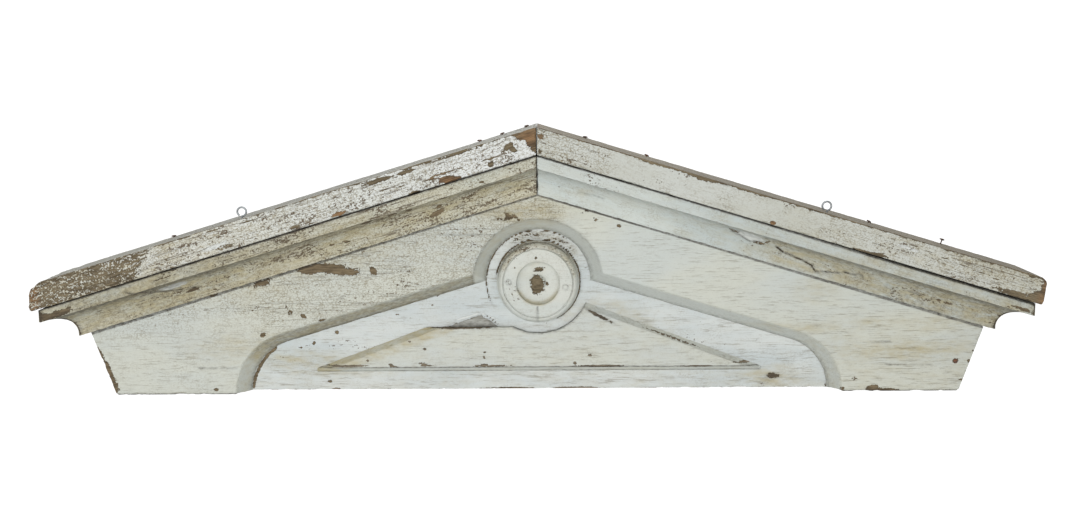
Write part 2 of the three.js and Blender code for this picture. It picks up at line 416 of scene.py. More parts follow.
def streak(points, line, half_width, strength=1):
    """A mark along a line of points."""
    best = np.zeros(len(points))
    for (x0, z0), (x1, z1) in zip(line, line[1:]):
        dx, dz = x1 - x0, z1 - z0
        part = ((points[:, 0] - x0) * dx + (points[:, 2] - z0) * dz) / (dx * dx + dz * dz)
        part = np.clip(part, 0, 1)
        away = np.hypot(points[:, 0] - x0 - part * dx, points[:, 2] - z0 - part * dz)
        best = np.maximum(best, hill(away / half_width))
    return best * strength


def arrises(piece):
    """How sharply the surface folds at each point: 0 on a face, 1 on an arris."""
    form = bmesh.new()
    form.from_mesh(piece.data)
    fold = np.array(folds(form))
    form.free()
    return fade(fold, 0.2, 0.45)


def ripple(values, size, seed=0):
    """Slow noise of one number, from -1 to 1."""
    return np.array([noise.noise(Vector((value / size, seed, 0))) for value in values])


def store(piece, **layers):
    """Keeps a number per point under each name."""
    count = len(piece.data.vertices)
    for name, values in layers.items():
        layer = piece.data.attributes.new(name, "FLOAT", "POINT")
        layer.data.foreach_set("value", np.broadcast_to(values, count).astype(np.float32))


def settle(piece, material, node):
    """Hands a finished piece to the frame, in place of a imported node."""
    piece.data.materials.append(material)
    bpy.ops.object.select_all(action="DESELECT")
    piece.select_set(True)
    bpy.context.view_layer.objects.active = piece
    bpy.ops.object.shade_smooth_by_angle(angle=math.radians(24))
    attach(piece, "root")
    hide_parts(node)
    print(piece.name, len(piece.data.vertices), "points")

# %% [markdown]
# ## Old oil paint
#
# The paint is lead white gone grey and cream, on pine. Where the sun and rain reached it, it has
# alligatored: it shrank into small plates with dirty cracks between them, and here and there a plate fell
# off and left a brown speck. Low on the boards it is thinner, and the wood's grain shows as fine level
# scratches. These are laid over each other in the order in which they happened, the loss of whole
# patches last.

# %% The layers of old paint
class OldPaint(Recipe):
    """A recipe with the numbers of wear and the noises that its layers share."""

    def __init__(self, name, turn, shift):
        super().__init__(name)
        self.turn = turn
        self.shift = (shift, 0, shift)
        self.flat = self.drawn_out(1)
        self.along = self.drawn_out(0.35)
        worn = ("bare", "warm", "silver", "dirt")
        self.bare, self.warm, self.silver, self.dirt = (self.attribute(layer) for layer in worn)
        marked = ("crackle", "scratch", "soot", "flake")
        self.crackle, self.scratch, self.soot, self.flake = (self.attribute(layer) for layer in marked)
        self.ragged = self.noise(self.along, 12, 6, 0.7)
        self.flecks = self.noise(self.drawn_out(0.6), 4, 3, 0.65)
        self.fine = self.noise(self.flat, 2.4, 2, 0.6)
        self.dashes = self.noise(self.drawn_out(0.45), 2.6, 2, 0.6)
        self.mottle = self.noise(self.along, 10, 4, 0.65)
        self.patchy = self.noise(self.flat, 34, 4, 0.65)

    def drawn_out(self, stretch):
        """A place for noise that is drawn out along the grain; a stretch of 1 leaves it round."""
        return self.place(self.turn, (stretch, 1, 1), self.shift)

    def aged(self, light, cool):
        broad = self.noise(self.along, 75, 3, 0.6)
        colour = self.mix(broad.step(0.35, 0.65).most(self.silver), light, cool)
        yellow = (self.dirt * (self.mottle * 1.7 + broad * 0.7 - 0.5)).step(0.1, 1.15)
        colour = self.mix(yellow * 0.9, colour, srgb(176, 165, 128))
        grime = (self.flecks * 0.6 + self.fine * 0.8 - 0.2).step(0.25, 0.85)
        return self.mix((grime - 0.5) * (self.crackle * 0.4 + 0.25), colour, srgb(128, 118, 92))

    def plate_cracks(self):
        """Cracks between the small plates; the cells are bent by a noise so that no border is straight."""
        inputs = {"Vector": self.flat, "Scale": 1 / (4 * MM), "Detail": 2}
        wobble = self.node("ShaderNodeTexNoise", None, inputs, "Color")
        shove = self.node("ShaderNodeVectorMath", {"operation": "MULTIPLY"}, {0: wobble, 1: (3.6 * MM,) * 3})
        straight = self.place(self.turn, (0.6, 1, 1))
        bent = self.node("ShaderNodeVectorMath", {"operation": "ADD"}, {0: straight, 1: shove})
        border = 1 - self.cells(bent, 3.1).step(0.03, 0.17)
        cracked = (self.crackle + (self.patchy - 0.5) * 1.2).step(0.2, 0.9)
        return border * cracked * (self.flecks * 0.5 + self.fine * 0.5).step(0.38, 0.56)

    def grain_lines(self):
        level = self.drawn_out(0.06)
        lines = self.noise(level, 1.5, 4, 0.75)
        bands = self.noise(level, 5, 3, 0.6)
        thin = (self.scratch + (self.patchy - 0.5) * 1.1).step(0.1, 0.95)
        return (lines + (bands - 0.5) * 0.3).step(0.53, 0.68) * thin

    def seams(self):
        away = abs(self.noise(self.drawn_out(0.05), 11, 2) - 0.5)
        split = (self.crackle + (self.patchy - 0.5) * 0.8 + (self.fine - 0.5) * 0.9).step(0.6, 0.75)
        return (1 - away.step(0.004, 0.014)) * split

    def fallen_plates(self, specks):
        cluster = self.noise(self.along, 30, 4, 0.7)
        crowd = self.fine * 0.45 + self.dashes * 0.55 + (cluster - 0.5) * 0.95
        crowd = crowd + (self.crackle - 0.5) * 0.22 + (specks - 1) * 0.2
        return crowd.step(0.69, 0.73) * self.crackle.step(0.02, 0.15)

    def turning_rings(self):
        settings = {"wave_type": "RINGS", "rings_direction": "Y"}
        inputs = {"Vector": self.flat, "Scale": 1 / (5 * MM), "Distortion": 1.2, "Detail": 2}
        return self.node("ShaderNodeTexWave", settings, inputs, "Fac").step(0.6, 1)

    def lost_patches(self):
        """How far the paint is gone, and where the wood is bare but for flecks that held on."""
        gone = self.bare + (self.ragged - 0.5) * 0.55 + (self.flecks - 0.5) * 0.6 + (self.fine - 0.5) * 0.35
        loss = gone.step(0.5, 0.545)
        held = (self.fine * 0.5 + self.dashes * 0.5 + (self.ragged - 0.5) * 0.12).step(0.535, 0.565)
        return gone, loss - loss * (held * self.flake.step(0.05, 0.25))

    def bare_wood(self, gone):
        """Pine: grey-brown, red-brown where fresh, silver grey where it lay open for long."""
        lengthwise = self.drawn_out(0.09)
        grain = self.noise(lengthwise, 1.5, 4, 0.65)
        rings = self.noise(lengthwise, 9, 3, 0.6, 1.2)
        tone = (grain * 0.9 + rings * 0.7 - 0.3).step(0.28, 0.74)
        old = self.mix(tone, srgb(76, 65, 47), srgb(130, 117, 92))
        fresh = self.mix(tone, srgb(80, 54, 32), srgb(158, 114, 72))
        grey = self.mix(tone, srgb(142, 141, 132), srgb(190, 191, 184))
        wood = self.mix(self.silver, self.mix(self.warm, old, fresh), grey)
        return self.mix((1 - gone.step(0.53, 0.66)) * 0.55, wood, srgb(70, 60, 44)), grain


def old_paint(name, turn, light, cool, shift=0, specks=1, crack_tone=0.6, turned=False):
    paint = OldPaint(name, turn, shift)
    crack, line, seam = paint.plate_cracks(), paint.grain_lines(), paint.seams()
    speck = paint.fallen_plates(specks)
    colour = paint.aged(light, cool)
    colour = paint.mix(crack * crack_tone, colour, srgb(126, 110, 74))
    colour = paint.mix(line * 0.6, colour, srgb(126, 117, 96))
    colour = paint.mix(seam * 0.7 * specks, colour, srgb(84, 70, 50))
    colour = paint.mix(speck * 0.88, colour, srgb(92, 76, 54))
    if turned:
        colour = paint.mix(paint.turning_rings() * 0.16, colour, srgb(140, 138, 122))

    lifted = (paint.flake + (paint.ragged - 0.5) * 0.5 + (paint.flecks - 0.5) * 0.5).step(0.5, 0.56)
    colour = paint.mix(lifted * 0.8, colour, srgb(214, 217, 213))
    gone, loss = paint.lost_patches()
    wood, grain = paint.bare_wood(gone)
    colour = paint.mix(loss, colour, wood)
    # Last comes the darkening: real sooty dirt, cracks and dirty lines, and painted shade in gaps, hollows
    # and under overhangs, all mixed towards one dark brown.
    shade = (paint.soot + (paint.flecks - 0.5) * paint.soot.step(0, 0.3) * 1.2).most(0).least(1)
    colour = paint.mix(shade * 0.92, colour, srgb(52, 46, 38))

    film = 1 - crack * 0.4 - speck * 0.6 - seam * 0.5 + paint.mottle * 0.16 - line * 0.25 + paint.fine * 0.1
    height = (1 - loss) * film + grain * loss * 0.35 + lifted * 0.9
    return paint.finish(colour, loss * 0.28 + 0.56 + crack * 0.1, height, depth=0.7, strength=0.75)


# %% [markdown]
# Every piece has its own tones, its own turn, so that the grain follows the slope, and its own shift, so
# that no two boards show the same cracks.

# %% The paints
CROWN_SHADES = {
    -1: (srgb(204, 202, 185), srgb(194, 199, 190)),
    1: (srgb(199, 205, 200), srgb(189, 199, 199)),
}
CAP_SHADES = {
    -1: (srgb(219, 222, 220), srgb(209, 212, 207)),
    1: (srgb(197, 200, 194), srgb(189, 191, 182)),
}
front_cream = srgb(200, 202, 191)
board_paint = old_paint("board_paint", 0, srgb(206, 210, 207), srgb(192, 200, 201))
front_paint = old_paint("front_paint", 0, front_cream, srgb(195, 200, 195), 0.37, 0.55, 0.55)
panel_paint = old_paint("panel_paint", 0, front_cream, srgb(196, 201, 197), 0.71, 0.8)
rosette_paint = old_paint("rosette_paint", 0, srgb(208, 210, 202), srgb(200, 205, 200), 1.13, turned=True)
crown_paint = {}
cap_paint = {}
for side, name in SIDES:
    turn = -side * RAKE
    crown_paint[side] = old_paint("crown_paint_" + name, turn, *CROWN_SHADES[side], 1.7 + side * 0.2, 1.05)
    specks = 1.05 - side * 0.05
    cap_paint[side] = old_paint("cap_paint_" + name, turn, *CAP_SHADES[side], 2.9 + side * 0.3, specks, 0.72)
print("paints:", len([m for m in bpy.data.materials if "paint" in m.name]))

# %% [markdown]
# ## The boards
#
# Two wide boards lie flat on each other. The back one is whole and shows inside the cut-out. These are
# the flattest pieces, so a grid of planes along and across gives them an even spread of points.

# %% Back board
RING_FOOT = 79.5
RING_SOFT = 12
DISC_EDGE = 63.5
BOARD_FOOT = -168.8
BACK_GONE = [
    (363, -151, 11, 5, 0, 0.95), (-325, -156, 6, 4, 0, 0.7), (-312, -79, 4, 3.4), (-369, -103, 4, 2),
    (-348, -95, 3.5, 3), (-355, -106, 2.2, 1.6), (-358, -99, 2, 1.6), (62, -169, 42, 2.2), (-45, -169, 50, 2),
    (-315, -168, 7, 2), (-218, -51, 2.8, 2.4), (-155, -22, 3, 2.4), (-163, -37, 2.4, 2), (344, -170, 7, 1.8),
    (446, -166, 2.5, 5),
]
BACK_STAINS = [
    (362, -152, 30, 13), (-371, -122, 60, 12), (-340, -118, 40, 5), (-300, -138, 60, 6), (-306, -36, 60, 9),
    (120, -60, 60, 20, -15),
]
KNEE_EDGE = [(-408, -103), (-421, -114), (-432, -129), (-441, -148), (-445, -166)]
HUMP_RIM = [(-128, -66), (-104, -60), (-90, -52), (-78, -54), (-62, -66)]
CURLED_FLAKE = [(-125, -60), (-89, -49), (-64, -60)]


def ring(points, radius, half_width, from_turn, to_turn):
    """A mark along part of a circle round the disc; turns are degrees, counter-clockwise from the right."""
    x, _, z = points.T
    turn = np.degrees(np.arctan2(z, x)) % 360
    inside = fade(turn, from_turn - RING_SOFT, from_turn + RING_SOFT)
    inside = inside * (1 - fade(turn, to_turn - RING_SOFT, to_turn + RING_SOFT))
    return hill(np.abs(np.hypot(x, z) - radius) / half_width) * inside


def chipped_foot(z):
    """Small chips along the lower edge of a board."""
    return 1 - fade(z, BOARD_FOOT, BOARD_FOOT + 2)


def bare_hump(x, z):
    """The triangular heap of torn wood under the disc."""
    below = -52 - z - np.maximum((-89 - x) * 0.38, (x + 89) * 0.68)
    return np.clip(0.5 + below / 9, 0, 1) * (z > -80)


def paint_back_board(piece):
    points = places(piece)
    x, y, z = points.T
    front_face = 1 - fade(y, -21, -18)
    hump = bare_hump(x, z)
    torn = highest(hump, streak(points, KNEE_EDGE, 2.6, 0.95), streak(points, HUMP_RIM, 1, 0.66))
    torn = highest(torn, spots(points, BACK_GONE), chipped_foot(z) * 0.46) * front_face
    # The two rings just outside the disc's edge are a painted shadow line round the disc, laid as bare wood
    # and darkening; the ring along the base of the arch's chamfer is a crack.
    rings = highest(ring(points, RING_FOOT, 1.2, 55, 205), ring(points, DISC_EDGE + 1, 1.4, -20, 175),
                    ring(points, DISC_EDGE + 1, 1.4, 290, 400))
    crazed = ring(points, 72, 6, 35, 128)
    knees = np.clip(1 - np.abs(x + 446 - (z + 140) * 0.2) / 12, 0, 1) * (z < -95)
    # Painted shade: the low end of the bare hump, by the panel's split edge, is darkened where the torn
    # surface dips.
    hump_foot_shade = (1 - fade(z, -73, -54)) * hump.clip(0, 0.6)
    dark_spot = spots(points, [(363, -151, 8, 3)]) * 0.9
    low = 1 - fade(z, -150, -125)
    store(piece, bare=highest(torn + fade(y, -3, -0.5), crazed * 0.5, rings * 0.9), warm=0.05,
          silver=fade(hump, 0.3, 0.5) * front_face,
          dirt=0.3 + low * 0.2 + spots(points, BACK_STAINS) * 0.6 + crazed * 0.4,
          crackle=np.maximum(0.3, crazed * 0.9), scratch=1 - 0.3 * fade(z, -150, -90),
          soot=highest(rings * 0.35, hump_foot_shade * 0.85, crazed * 0.15, knees * 0.3, dark_spot) * front_face,
          flake=streak(points, CURLED_FLAKE, 2, 0.8) * front_face)


back_board = worn_copy("back_board")
ease_arrises(back_board, 0.8)
cut_grid(back_board, ACROSS, -460, 460, 4)
cut_grid(back_board, UPWARD, -168, 82, 3)
cut_grid(back_board, ACROSS, -86, 86, 2)
wear(back_board, wave=0.3, wave_size=60, chip=1.2)
paint_back_board(back_board)
settle(back_board, board_paint, "back_board")

# %% [markdown]
# The front board has the arched and kneed cut-out with a broad chamfer. The edges near its one nail are
# left sharp, so that no bevel runs into the hole.

# %% Front board
NAIL_PLACE = Vector((637, -50, -123)) * MM
NAIL_CLEARANCE = 3 * MM
FRONT_GONE = [
    (-318, 26, 46, 8, -5), (-349, 24, 18, 9), (-285, 20, 14, 5), (-420, 4, 24, 7, 14, 0.8),
    (-494, -12, 7, 5, 20), (-664, -130, 7, 32, 25), (-654, -155, 7, 12, 25), (-673, -102, 4, 8, 25),
    (531, -169, 30, 4), (512, -164, 11, 5), (608, -170, 34, 2), (663, -107, 2.5, 2.5), (657, -123, 2.5, 3),
    (646, -152, 4, 2.5), (485, -150, 9, 3.2, 5, 0.8), (465, -166, 5, 3, 30), (637, -123, 5.4, 5, 0, 0.9),
    (-421, -77, 5, 3.5, 50), (-496, -162, 4, 3),
]
FRONT_SPOTS = [
    (-378, -42, 6, 5), (-358, -48, 5, 6, 60), (-330, -55, 7, 4, 20), (-234, -12, 2.5, 2), (-384, -33, 3, 4),
    (-44, 101, 8, 5, 20), (74, 111, 3.4, 2.6), (66, 108, 3.4, 2.6), (88, 98, 6, 4), (-46, 106, 6, 5),
    (123, 88, 4, 3), (-34, 104, 5, 4), (-28, 98, 3, 3), (-58, 100, 3.4, 3), (-249, 22, 4, 7, 20),
]
FRONT_STAINS = [
    (-300, 40, 130, 24, 17), (-420, 0, 70, 24, 17), (552, -104, 60, 10), (596, -62, 40, 9),
    (422, -12, 30, 16), (60, 118, 40, 12, -10, 0.6), (-430, -95, 90, 20), (-20, 116, 56, 16, 0, 1.4),
    (395, -70, 60, 6), (520, -60, 40, 6), (-120, 60, 60, 24, 10, 0.6),
]
FRONT_SPLITS = [
    (0.8, [(-172, 78), (-120, 76.5), (-64, 77)]), (0.8, [(-520, -128), (-462, -127)]),
    (1, [(508, -91), (536, -91.5)]), (0.7, [(530, -128), (600, -129)]),
]


def away_from_nail(edge):
    middle = (edge.verts[0].co + edge.verts[1].co) / 2
    return (middle - NAIL_PLACE).xz.length > NAIL_CLEARANCE


def crown_shadow(x, z):
    """The dark line under the moulding, darkest just right of the peak."""
    crown_foot = 127 - 1.6 * fade(np.abs(x), 0, 650)
    gap = fade((z + np.abs(x) * SLOPE) * math.cos(RAKE) - crown_foot, 0.8, 1.8)
    return gap * (0.75 + 0.25 * fade(x, 20, 40) * (1 - fade(x, 120, 200)))


def paint_front_board(piece):
    points = places(piece)
    x, y, z = points.T
    left_half = 1 - fade(x, -120, 130)
    far_left = 1 - fade(x, -560, -400)
    high_part = fade(z, -110, 0)
    low_right = fade(x, 300, 500) * (1 - high_part)
    apex = spot(points, -25, 110, 60, 18)
    chamfer = fade(y, -48.8, -46)
    # Painted shadow: a dark line at the chamfer's lower edge, against the back board.
    chamfer_foot_shadow = fade(y, -31, -23.5) * (np.abs(x) < 470) * 0.32
    straight_left = chamfer * (x < -100) * fade(z, -125, -85)
    low_edge = (1 - fade(z, -168.5, -166.5)) * (1 - chamfer)
    rim_dirt = ring(points, 99.5, 2, 20, 200) * 0.2
    splits = sum(streak(points, line, width) for width, line in FRONT_SPLITS)
    gone = spots(points, FRONT_GONE) + spots(points, FRONT_SPOTS) * 0.8
    dirt = 0.36 - 0.14 * high_part + low_right * 0.2 + spots(points, FRONT_STAINS) * 0.5
    dirt = dirt + chamfer * 0.25 * left_half + straight_left * 0.5 - far_left * 0.1 + apex * 0.45
    crackle = np.clip(left_half * (0.25 + 0.55 * high_part) + 0.12 + apex * 0.5, 0, 1)
    # Painted shade: the chamfer is darkened on the right, and made cooler on the whole through silver, as it
    # faces downward.
    soot = crown_shadow(x, z) + straight_left * 0.4 + chamfer * 0.08 * (1 - left_half)
    soot = soot + chamfer_foot_shadow + rim_dirt + low_edge * 0.9
    store(piece, bare=highest(gone, chipped_foot(z) * 0.5) * (1 - chamfer * 0.4), warm=0.08,
          silver=chamfer * 0.9 * (1 - 0.8 * left_half * high_part),
          dirt=np.clip(dirt, 0, 1), crackle=crackle * (1 - chamfer * 0.8),
          scratch=(0.75 - 0.35 * high_part + 0.3 * (1 - left_half)) * (1 - chamfer * 0.3),
          soot=highest(soot, splits * 0.5), flake=0)


front_board = worn_copy("front_board")
ease_arrises(front_board, 1, away_from_nail)
cut_grid(front_board, ACROSS, -680, 672, 4)
cut_grid(front_board, UPWARD, -167, 190, 3)
for side, name in SIDES:
    cut_grid(front_board, raking(side)[1], 124.5, 131, 1)
wear(front_board, wave=0.4, wave_size=70, chip=1.6)
paint_front_board(front_board)
settle(front_board, front_paint, "front_board")

# %% [markdown]
# ## The triangular panel
#
# A thin board with bevelled edges, nailed on the back board under the rosette. Its upper left has split
# off along the grain and left a rough edge, so the wear there is given an extra depth.

# %% Triangular panel
PANEL_SLOPE = 0.3735
PANEL_GONE = [
    (-265, -122, 2.6, 2.6), (-199, -93, 3, 2.2), (-176, -104, 3, 2.2), (-180, -127, 9, 2.4, 0, 0.8),
    (-229, -128, 4, 2), (-84, -118, 3.2, 2.6), (-83, -109, 3, 2), (-83, -129, 5, 2.4), (79, -115, 3.5, 2.5),
    (56, -127, 3.5, 2.5), (95, -54, 20, 2.6, -28), (-121, -71, 50, 2.2), (95, -132, 38, 1.8),
    (-292, -130, 31, 1.8), (-225, -131, 10, 2, 0, 0.8), (-175, -130, 12, 2, 0, 0.8),
    (-70, -131, 44, 2.2, 0, 0.8), (249, -133, 31, 1.6), (319, -127, 18, 2.4),
    (203, -87, 60, 1.6, -20.5, 0.85),
]
PANEL_SPLITS = [(-121, -69.5, 50, 1.8), (95, -54, 18, 2, -28)]


def splinter(place):
    """Extra wear along the split edge."""
    near = ramp(place.z, -76, -70) * ramp(-place.x, 60, 80)
    return near * (0.5 + noise.noise(place / 7)) * 3


def paint_panel(piece):
    points = places(piece)
    x, _, z = points.T
    left_edge = fade(z + np.abs(x) * PANEL_SLOPE, -32, -18) * (x < 0)
    low_arris = np.clip(1 - np.abs(z + 133) / 1.6, 0, 1) + (1 - fade(z, -139.4, -138.2)) * 0.6
    right_arris = streak(points, [(85, -44), (323, -133)], 2)
    lines = low_arris * 0.8 + ring(points, 80, 1.3, 200, 345) * 0.6 + right_arris * 0.12
    store(piece, bare=highest(spots(points, PANEL_GONE), right_arris * 0.46), warm=0.1, silver=0.15,
          dirt=np.clip(0.42 + left_edge * 0.85, 0, 1), crackle=0.3, scratch=0.7,
          soot=highest(spots(points, PANEL_SPLITS) * 0.85, lines), flake=0)


panel = worn_copy("triangle_panel", "worn_panel")
ease_arrises(panel, 0.9)
cut_grid(panel, ACROSS, -340, 340, 4)
cut_grid(panel, UPWARD, -140, -20, 3)
cut_grid(panel, ACROSS, -80, 80, 2)
cut_grid(panel, UPWARD, -139, -129, 1)
wear(panel, wave=0.3, wave_size=50, chip=1.8, chip_size=12, often=0, more=splinter)
paint_panel(panel)
settle(panel, panel_paint, "triangle_panel")

# %% [markdown]
# ## The turned disc
#
# A turner cut this disc on a lathe, and spinning a profile is the same movement. The profile starts as
# one point, is drawn by extruding that point from corner to corner, and goes round the axis in one spin.
# The poles are merged after it and the normals turned outwards.

# %% Disc
DISC_BACK = 22.3
DISC_FACE = 44
LONGEST_STEP = 2.4
DISC_GONE = [
    (-1, -3, 11, 15.5), (1, 20, 10, 5, 8, 0.88), (14, -2, 2.4, 2.6), (-3, 39, 2, 2.2), (-35, 24, 1.6, 1.6),
]
NAIL_RINGS = [(-45, 0, 2), (42, 0, -6)]


def curve(centre_out, centre_deep, out, deep, last, steps):
    """Points of a quarter ellipse from its widest place, as (distance from the axis, depth)."""
    turns = [math.radians(last * number / steps) for number in range(steps + 1)]
    return [(centre_out + out * math.cos(turn), centre_deep + deep * math.sin(turn)) for turn in turns]


def evenly(corners, longest):
    """The same line with its long stretches divided."""
    line = [corners[0]]
    for (a, b), (c, d) in zip(corners, corners[1:]):
        parts = max(1, math.ceil(math.hypot(c - a, d - b) / longest))
        line += [(a + (c - a) * n / parts, b + (d - b) * n / parts) for n in range(1, parts + 1)]
    return line


def disc_corners():
    """From the back over the rim and the hollow to the middle of the boss."""
    back = [(0, DISC_BACK), (63, DISC_BACK), (63.5, DISC_BACK + 0.6)]
    rim = [(63.5, 27.4), (62.8, 28.4), (61.6, 28.6), (61.6, 29.6)] + curve(54.3, 29.9, 7.8, 12.8, 90, 14)
    flat = [(53.9, 41.5), (53.1, 41.4), (52.8, 43.3), (52, DISC_FACE), (34.4, DISC_FACE), (33.3, 43.6)]
    hollow = curve(20, 42.6, 12.9, 6.6, -90, 12)
    boss = [(14, 36), (13.3, 35.5), (12.5, 35.7)] + curve(0, 36.2, 12, 6.7, 90, 10)
    return back + rim + flat + hollow + boss


def turned_disc(line):
    bpy.ops.mesh.primitive_plane_add(size=1 * MM, location=(0, -DISC_BACK * MM, 0))
    piece = bpy.context.object
    piece.name = "turned_disc"
    bpy.ops.object.transform_apply(location=True, rotation=True, scale=True)
    open_edit(piece)
    take_all()
    bpy.ops.mesh.merge(type="CENTER")
    for (out, deep), (next_out, next_deep) in zip(line, line[1:]):
        step = Vector((next_out - out, -(next_deep - deep), 0)) * MM
        extrude(step)
    take_all()
    bpy.ops.mesh.spin(steps=144, angle=math.tau, center=(0, 0, 0), axis=(0, 1, 0))
    take_all()
    bpy.ops.mesh.remove_doubles(threshold=0.02 * MM)
    bpy.ops.mesh.normals_make_consistent(inside=False)
    close_edit()
    return piece


def paint_disc(piece):
    points = places(piece)
    x, _, z = points.T
    top_of_rim = fade(np.hypot(x, z), 52, 55) * fade(z, -10, 40)
    dish_dirt = ring(points, 31.5, 2.5, 200, 340) * 1.5 + ring(points, 26, 8, 60, 170) * 0.5
    # Painted shadow: a dark line along the top of the disc's edge; the faint line low in the hollow is dirt.
    edge_shadow_and_dish_line = ring(points, 61.8, 1, 40, 175) * 0.6 + ring(points, 31.8, 1.3, 200, 340) * 0.15
    check = streak(points, [(-1, -37), (-1, -61)], 1, 0.8)
    nails = sum(ring(points - np.array(place), 4, 0.9, -30, 400) for place in NAIL_RINGS)
    soot = check + edge_shadow_and_dish_line + nails * 0.45 + ring(points, 53.4, 1, -30, 400) * 0.2
    store(piece, bare=spots(points, DISC_GONE), warm=0, silver=0,
          dirt=np.clip(0.3 + top_of_rim * 0.5 + dish_dirt * 0.6, 0, 1),
          crackle=np.clip(0.32 + top_of_rim * 0.4, 0, 1), scratch=0.3,
          soot=np.clip(soot, 0, 1), flake=0)


disc = turned_disc(evenly(disc_corners(), LONGEST_STEP))
wear(disc, wave=0.25, wave_size=30, chip=0.6, chip_size=9)
paint_disc(disc)
settle(disc, rosette_paint, "rosette")

# %% [markdown]
# ## Crown and caps
#
# The crown is a run of moulding with a square fillet over a hollow cove, mitred in the middle and
# returned to the wall at both ends. Its paint follows the distance across the slope.

# %% Crown mouldings
LEFT_WEAR = {-1: 1, 1: 0.3}
CROWN_GONE = {-1: [
    (-150, 111, 13, 3.6, 30, 1.1), (-145, 123, 8, 2, 30), (-251, 101, 10, 2, 17), (-215, 112, 8, 2, 17),
    (-140, 136, 7, 1.8, 17), (-190, 118, 6, 1.8, 17), (-308, 64, 5, 2, 10), (-287, 69, 7, 2, 10),
    (-521, -4, 14, 2, 15), (-487, -3, 3, 2), (-712, -30, 26, 5.5, 17, 0.95), (-731, -36, 12, 7),
    (-550, 23, 17, 2, 17, 0.8), (-80, 161, 5, 2, 10), (-99, 138, 16, 4, 17, 0.62),
], 1: [
    (292, 84, 10, 2.2, -20), (330, 64, 9, 2.4, -12), (343, 66, 6, 2.4, 30, 0.9), (603, -25, 4, 2, -20),
    (617, -30, 4, 2, -20), (712, -31, 22, 3.4, -17, 0.8),
]}
CROWN_CRACKS = {-1: [
    (0.8, [(-611, 0), (-585, -4), (-559, -4), (-530, -1), (-506, 2)]),
    (0.45, [(-136, 124), (-112, 141), (-84, 152), (-57, 158),
            (-40, 162), (-26, 158), (-32, 151), (-60, 143)]),
], 1: [
    (1.2, [(357, 58), (369, 48), (379, 45), (392, 39), (404, 33), (412, 28), (415, 21), (422, 19)]),
    (0.8, [(422, 19), (432, 19), (448, 17), (462, 18), (486, 13)]),
    (0.7, [(288, 84), (302, 76), (318, 66), (332, 66)]), (0.6, [(559, -12), (574, -18)]),
    (0.4, [(62, 141), (82, 138), (98, 132)]),
]}
CROWN_STAINS = {-1: [
    (-286, 88, 60, 8, 17), (-354, 66, 50, 8, 17), (-99, 139, 40, 7, 15), (-39, 149, 22, 7, 10),
    (-586, -8, 40, 10, 15), (-180, 112, 60, 8, 17),
], 1: [
    (68, 141, 8, 4), (420, 30, 70, 12, -17), (600, -25, 70, 14, -17), (690, -45, 40, 12, -17),
]}
CROWN_FLAKES = {-1: [(-548, 4, 32, 5, 17, 0.85)], 1: [(314, 75, 20, 5, -17, 1.25)]}


def slope_distances(points, side):
    """Distances along and across the slope, in millimetres."""
    along, across = raking(side)
    return points @ np.array(along), points @ np.array(across)


def paint_crown(piece, side):
    points = places(piece)
    x, y, _ = points.T
    across = slope_distances(points, side)[1]
    left = LEFT_WEAR[side]
    far = fade(side * x, 100, 600)
    from_mitre = np.abs(x) + y
    end_line = (1 - fade(from_mitre.max() - from_mitre, 1, 8)) * (np.abs(x) > 660)
    bare = highest(spots(points, CROWN_GONE[side]), end_line * 0.66)
    split = np.zeros(len(points))
    for strength, line in CROWN_CRACKS[side]:
        bare = highest(bare, streak(points, line, 1.3, 0.75 * strength))
        split = highest(split, streak(points, line, 1.1, strength))

    in_cove = fade(y, -104, -98)
    # Painted shade: the cove is darkened under the fillet, and the whole hollow more towards the ends.
    cove_top_shade = fade(across, 158, 172) * in_cove
    # Painted shade with sooty dirt: a dark band along the top edge, in the gap under the cap; and painted
    # shade with dirt: a dark line along the lower edge, where the moulding meets the board.
    top = fade(across, 187.6 - 2.4 * fade(x, 300, 520), 189)
    foot_shade_and_dirt = 1 - fade(across, 131, 132.4)
    mitre = (1 - fade(np.abs(x), 0.8, 2.2)) * 0.32
    on_fillet = (1 - in_cove) * fade(across, 160, 165) * left
    stains = spots(points, CROWN_STAINS[side])
    dirt = 0.3 + 0.3 * left + 0.15 * left * in_cove + stains * 0.5 + far * 0.4
    crackle = left * (0.75 - 0.3 * far) + 0.15 + far * (1 - left) * 0.3 + stains * 0.15
    soot = split + top + foot_shade_and_dirt * 0.75 + cove_top_shade * (0.12 + 0.12 * left + 0.3 * far) + in_cove * far * 0.2
    soot = soot + mitre + end_line * 0.5 + on_fillet * far * 0.26
    store(piece, bare=bare, warm=0.1, silver=0,
          dirt=np.clip(dirt, 0, 1), crackle=np.clip(crackle, 0, 1), scratch=0.5,
          soot=np.clip(soot, 0, 1), flake=spots(points, CROWN_FLAKES[side]))


def shrunk_top(place):
    """The moulding has dropped away from the cap towards the right end."""
    height = place.z + SLOPE * abs(place.x)
    return ramp(height, 195, 197) * ramp(place.x, 380, 560) * 2


def slope_grid(piece, side, middle, across_cuts):
    along, across = raking(side)
    first, last = (-800, middle) if side < 0 else (-middle, 800)
    cut_grid(piece, along, first, last, 3)
    for cuts in across_cuts:
        cut_grid(piece, across, *cuts)


for side, name in SIDES:
    piece = worn_copy("crown_" + name)
    ease_arrises(piece, 0.8)
    slope_grid(piece, side, 60, [(130, 192, 3), (184, 189, 1), (130.5, 133, 1)])
    wear(piece, wave=0.5, wave_size=45, chip=1.3, more=shrunk_top)
    paint_crown(piece, side)
    settle(piece, crown_paint[side], "crown_" + name)

# %% [markdown]
# The returns are short lengths of the same moulding that run back to the wall, and so does their grid.

